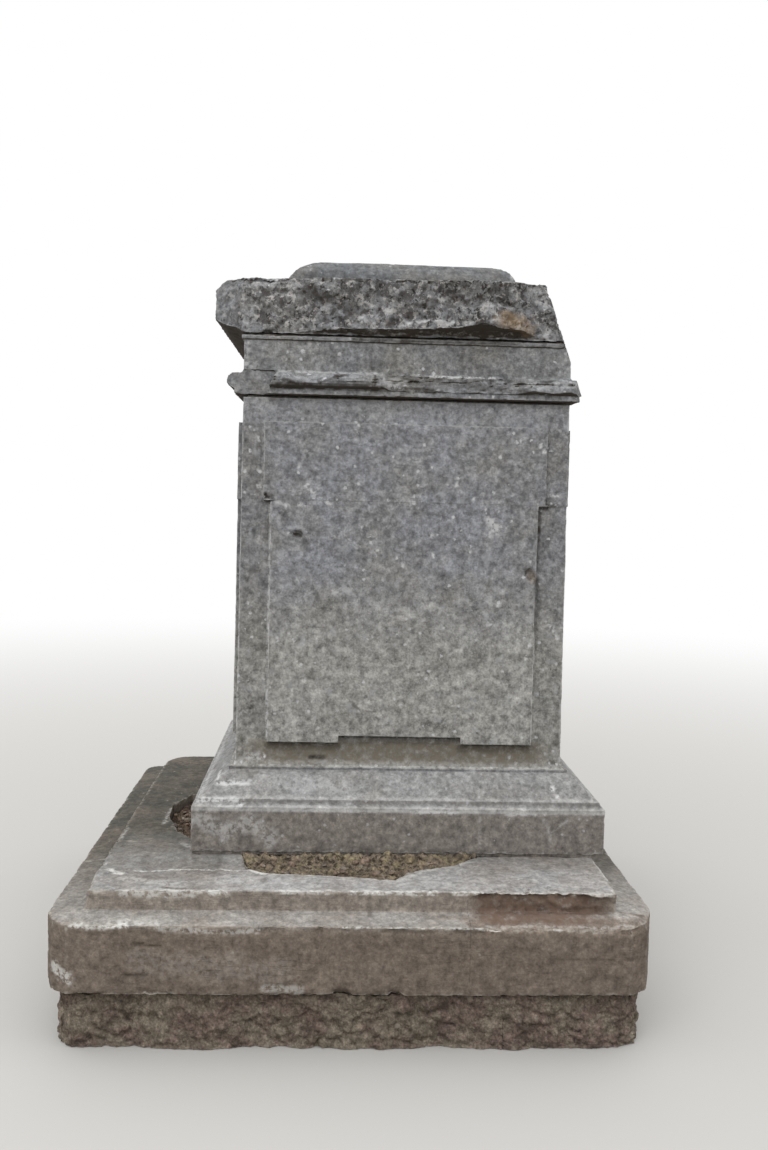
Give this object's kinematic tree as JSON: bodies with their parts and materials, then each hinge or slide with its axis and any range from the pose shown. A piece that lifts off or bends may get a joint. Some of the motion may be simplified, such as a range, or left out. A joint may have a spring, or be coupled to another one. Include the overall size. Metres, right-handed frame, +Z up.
{
  "type": "obelisk pedestal with the shaft missing",
  "caption": "Weathered stone obelisk pedestal without its shaft: notched panelled die, moulded base, broken cornice and kerbed plinth.",
  "frame": {"origin": "on the ground under the middle of the plinth", "axes": "+Z up, +X to the right of someone who faces the inscribed front, -Y out of that front"},
  "size_m": [1.512, 1.546, 2.024],
  "materials": {
    "limestone": "weathered, matte",
    "limestone_pale": "rain-washed, matte",
    "kerb_stone": "weathered, matte",
    "rubble": "rough",
    "mortar": "rough",
    "earth": "rough"
  },
  "bodies": {
    "root": {"footing": "rubble", "kerb_bed": "mortar", "kerb_front": "kerb_stone", "kerb_right": "kerb_stone", "kerb_back": "kerb_stone", "kerb_left": "kerb_stone", "plinth_core": "rubble", "earth_front": "earth", "earth_left": "earth", "base_bed": "mortar", "pedestal_base": "limestone_pale", "foot_joint": "mortar", "die_lower": "limestone", "die_joint": "mortar", "die_upper": "limestone", "neck_joint": "mortar", "neck_frieze": "limestone", "cornice_joint": "mortar", "cornice": "limestone", "top_joint": "mortar", "top_block": "limestone_pale"}
  },
  "joints": []
}
